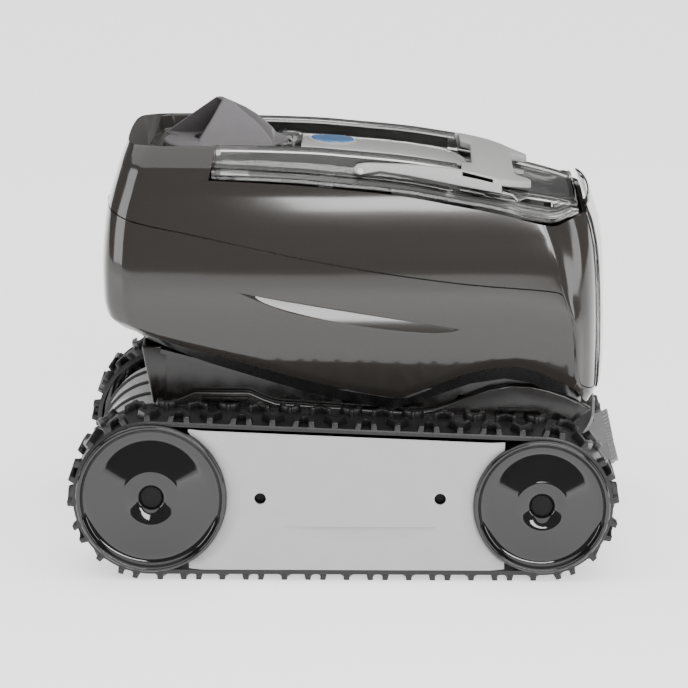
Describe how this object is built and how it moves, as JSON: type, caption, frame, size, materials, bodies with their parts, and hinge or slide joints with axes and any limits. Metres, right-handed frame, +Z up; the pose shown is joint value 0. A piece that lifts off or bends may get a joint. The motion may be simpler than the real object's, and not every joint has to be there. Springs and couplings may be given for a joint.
{
  "type": "tracked robotic pool cleaner",
  "caption": "Tracked swimming-pool cleaning robot with a brush, a ribbed drum, a filter under a clear hinged lid, a carrying handle and a water-jet nozzle.",
  "frame": {"origin": "on the ground, under the middle of the machine's bounding box", "axes": "+X forward towards the brush, +Y to the machine's left, +Z up"},
  "size_m": [0.373, 0.29, 0.306],
  "materials": {
    "body_shell": "gloss moulded, dark warm grey with fine metallic pigment",
    "black_plastic": "gloss moulded black",
    "wheel_plastic": "gloss moulded black-grey",
    "panel_plastic": "satin light grey",
    "handle_plastic": "satin grey",
    "nozzle_plastic": "satin mid grey",
    "clear_plastic": "clear smoky polycarbonate",
    "track_rubber": "moulded black rubber",
    "steel": "turned stainless steel",
    "white_plastic": "moulded white acetal",
    "badge_plastic": "plain blue enamel-like insert"
  },
  "bodies": {
    "hull": {"chassis_tub": "black_plastic", "lower_shell": "body_shell", "upper_shell": "body_shell", "right_side_frame": "black_plastic", "right_track_frame": "black_plastic", "right_side_panel": "panel_plastic", "right_track": "track_rubber", "right_rear_axle": "steel", "right_front_axle": "steel", "right_panel_screw_1": "steel", "right_panel_screw_2": "steel", "right_lid_pin": "steel", "left_side_frame": "black_plastic", "left_track_frame": "black_plastic", "left_side_panel": "panel_plastic", "left_track": "track_rubber", "left_rear_axle": "steel", "left_front_axle": "steel", "left_panel_screw_1": "steel", "left_panel_screw_2": "steel", "left_lid_pin": "steel", "rear_roller_shaft": "steel", "front_brush_shaft": "steel", "motor_housing": "black_plastic", "motor_cover": "black_plastic", "shaft_seal": "track_rubber", "outlet_duct": "black_plastic", "outlet_grille": "black_plastic", "cable_gland": "black_plastic", "filter_basket": "black_plastic", "filter_screen": "white_plastic", "filter_cover": "black_plastic", "intake_duct": "black_plastic", "intake_flap_pin": "steel"},
    "right_rear_wheel": {"right_rear_wheel": "wheel_plastic", "right_rear_wheel_cap": "wheel_plastic", "right_rear_bush": "white_plastic"},
    "right_front_wheel": {"right_front_wheel": "wheel_plastic", "right_front_wheel_cap": "wheel_plastic", "right_front_bush": "white_plastic"},
    "right_drive_pinion": {"right_drive_pinion": "white_plastic"},
    "left_rear_wheel": {"left_rear_wheel": "wheel_plastic", "left_rear_wheel_cap": "wheel_plastic", "left_rear_bush": "white_plastic"},
    "left_front_wheel": {"left_front_wheel": "wheel_plastic", "left_front_wheel_cap": "wheel_plastic", "left_front_bush": "white_plastic"},
    "left_drive_pinion": {"left_drive_pinion": "white_plastic"},
    "rear_roller": {"rear_roller": "track_rubber"},
    "front_brush": {"front_brush_core": "black_plastic", "front_brush_lamellae": "track_rubber"},
    "rotor": {"impeller": "white_plastic", "pump_shaft": "steel"},
    "nozzle": {"nozzle": "nozzle_plastic"},
    "lid": {"lid": "clear_plastic", "badge": "badge_plastic", "right_handle_pin": "steel", "left_handle_pin": "steel"},
    "handle": {"handle": "handle_plastic"},
    "flap": {"intake_flap": "track_rubber"}
  },
  "joints": [
    {"name": "right_rear_wheel_spin", "type": "hinge", "parent": "hull", "child": "right_rear_wheel", "pos_m": [-0.13, -0.119, 0.0565], "axis": [0, 1, 0], "continuous": true},
    {"name": "right_front_wheel_spin", "type": "hinge", "parent": "hull", "child": "right_front_wheel", "pos_m": [0.131, -0.119, 0.0516], "axis": [0, 1, 0], "continuous": true},
    {"name": "right_pinion_spin", "type": "hinge", "parent": "hull", "child": "right_drive_pinion", "pos_m": [-0.074, -0.07, 0.0565], "axis": [0, 1, 0], "continuous": true},
    {"name": "left_rear_wheel_spin", "type": "hinge", "parent": "hull", "child": "left_rear_wheel", "pos_m": [-0.13, 0.119, 0.0565], "axis": [0, 1, 0], "continuous": true},
    {"name": "left_front_wheel_spin", "type": "hinge", "parent": "hull", "child": "left_front_wheel", "pos_m": [0.131, 0.119, 0.0516], "axis": [0, 1, 0], "continuous": true},
    {"name": "left_pinion_spin", "type": "hinge", "parent": "hull", "child": "left_drive_pinion", "pos_m": [-0.074, 0.07, 0.0565], "axis": [0, 1, 0], "continuous": true},
    {"name": "rear_roller_spin", "type": "hinge", "parent": "hull", "child": "rear_roller", "pos_m": [-0.13, 0, 0.0565], "axis": [0, 1, 0], "continuous": true},
    {"name": "front_brush_spin", "type": "hinge", "parent": "hull", "child": "front_brush", "pos_m": [0.131, 0, 0.0566], "axis": [0, 1, 0], "continuous": true},
    {"name": "rotor_spin", "type": "hinge", "parent": "hull", "child": "rotor", "pos_m": [-0.0845, 0, 0.216], "axis": [0, 0, 1], "continuous": true},
    {"name": "nozzle_turn", "type": "hinge", "parent": "hull", "child": "nozzle", "pos_m": [-0.0845, 0, 0.2734], "axis": [0, 0, 1], "range_deg": [0, 90]},
    {"name": "lid_hinge", "type": "hinge", "parent": "hull", "child": "lid", "pos_m": [-0.087, 0, 0.2785], "axis": [0, -1, 0], "range_deg": [0, 100]},
    {"name": "handle_pivot", "type": "hinge", "parent": "lid", "child": "handle", "pos_m": [0.009, 0, 0.268], "axis": [0, -1, 0], "range_deg": [0, 95]},
    {"name": "flap_hinge", "type": "hinge", "parent": "hull", "child": "flap", "pos_m": [0.001, 0, 0.1368], "axis": [0, -1, 0], "range_deg": [0, 50]}
  ],
  "couplings": [
    {"joint": "right_front_wheel_spin", "follows": "right_rear_wheel_spin", "ratio": 1.1071},
    {"joint": "right_pinion_spin", "follows": "right_rear_wheel_spin", "ratio": -3},
    {"joint": "left_front_wheel_spin", "follows": "left_rear_wheel_spin", "ratio": 1.1071},
    {"joint": "left_pinion_spin", "follows": "left_rear_wheel_spin", "ratio": -3},
    {"joint": "rear_roller_spin", "follows": "right_rear_wheel_spin", "ratio": 1},
    {"joint": "front_brush_spin", "follows": "right_rear_wheel_spin", "ratio": 2}
  ]
}
